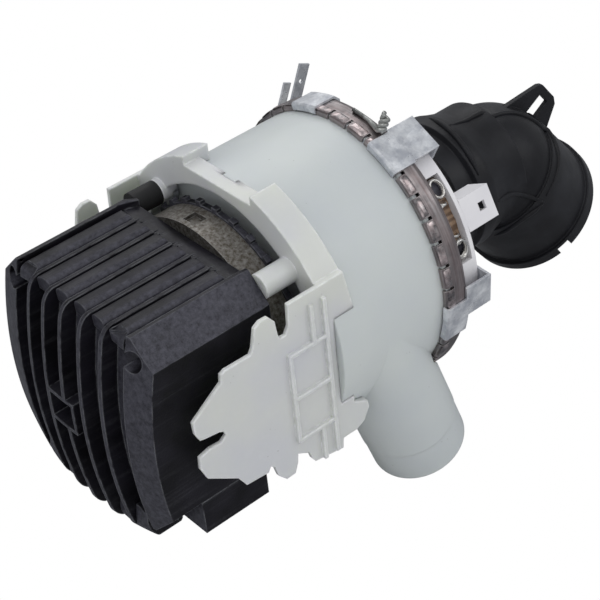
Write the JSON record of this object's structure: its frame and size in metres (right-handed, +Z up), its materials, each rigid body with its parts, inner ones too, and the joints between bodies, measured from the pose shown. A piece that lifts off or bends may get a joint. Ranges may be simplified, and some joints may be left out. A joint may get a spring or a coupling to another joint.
{
  "type": "dishwasher circulation pump",
  "caption": "Heated circulation pump: ribbed black motor, white bracket and pump body with side outlet, crimped ring heater with thermostat carrier, and a bent rubber inlet.",
  "frame": {"origin": "on the shaft axis, in the plane where the white pump body meets the heater ring", "axes": "+X along the shaft from the motor to the inlet, +Z up as the pump is fitted, +Y completes a right-handed frame"},
  "size_m": [0.2355, 0.1058, 0.1359],
  "materials": {
    "motor_black": "satin",
    "white_plastic": "satin",
    "bracket_plastic": "satin",
    "bright_white": "satin",
    "rubber_black": "matte",
    "steel_plain": "brushed",
    "steel_tinted": "brushed",
    "zinc": "satin",
    "shaft_steel": "polished",
    "bronze": "satin",
    "copper_winding": "gloss",
    "core_steel": "matte",
    "magnet": "matte",
    "ceramic_seal": "polished",
    "carbon": "polished",
    "mica": "matte"
  },
  "bodies": {
    "pump": {"motor_housing": "motor_black", "motor_connector": "motor_black", "motor_connector_pins": "zinc", "stator_core": "core_steel", "stator_windings": "copper_winding", "motor_end_shield": "steel_plain", "coil_former": "motor_black", "rear_bearing": "bronze", "front_bearing": "bronze", "mounting_bracket": "bracket_plastic", "pump_body": "white_plastic", "body_gasket": "rubber_black", "seal_cup": "rubber_black", "seal_seat": "ceramic_seal", "guide_ring": "bright_white", "suction_tube": "bright_white", "heater_plate": "steel_plain", "heater_tube": "steel_tinted", "crimp_ring": "steel_tinted", "ring_sleeve": "zinc", "upper_clip": "zinc", "lower_clip": "zinc", "thermostat_holder": "bright_white", "mica_insulator": "mica", "thermal_cutouts": "motor_black", "contact_springs": "zinc", "connector_housing": "bright_white", "connector_blades": "zinc", "heater_terminals": "zinc", "binding_wire": "zinc", "inlet_elbow": "rubber_black", "bracket_screws": "zinc", "bracket_spacers": "rubber_black"},
    "rotor": {"rotor_shaft": "shaft_steel", "rotor_core": "core_steel", "rotor_magnet": "magnet", "seal_ring": "carbon", "impeller": "bright_white", "impeller_nut": "bronze"}
  },
  "joints": [
    {"name": "rotor_spin", "type": "hinge", "parent": "pump", "child": "rotor", "pos_m": [-0.06, 0, 0], "axis": [1, 0, 0], "continuous": true}
  ]
}
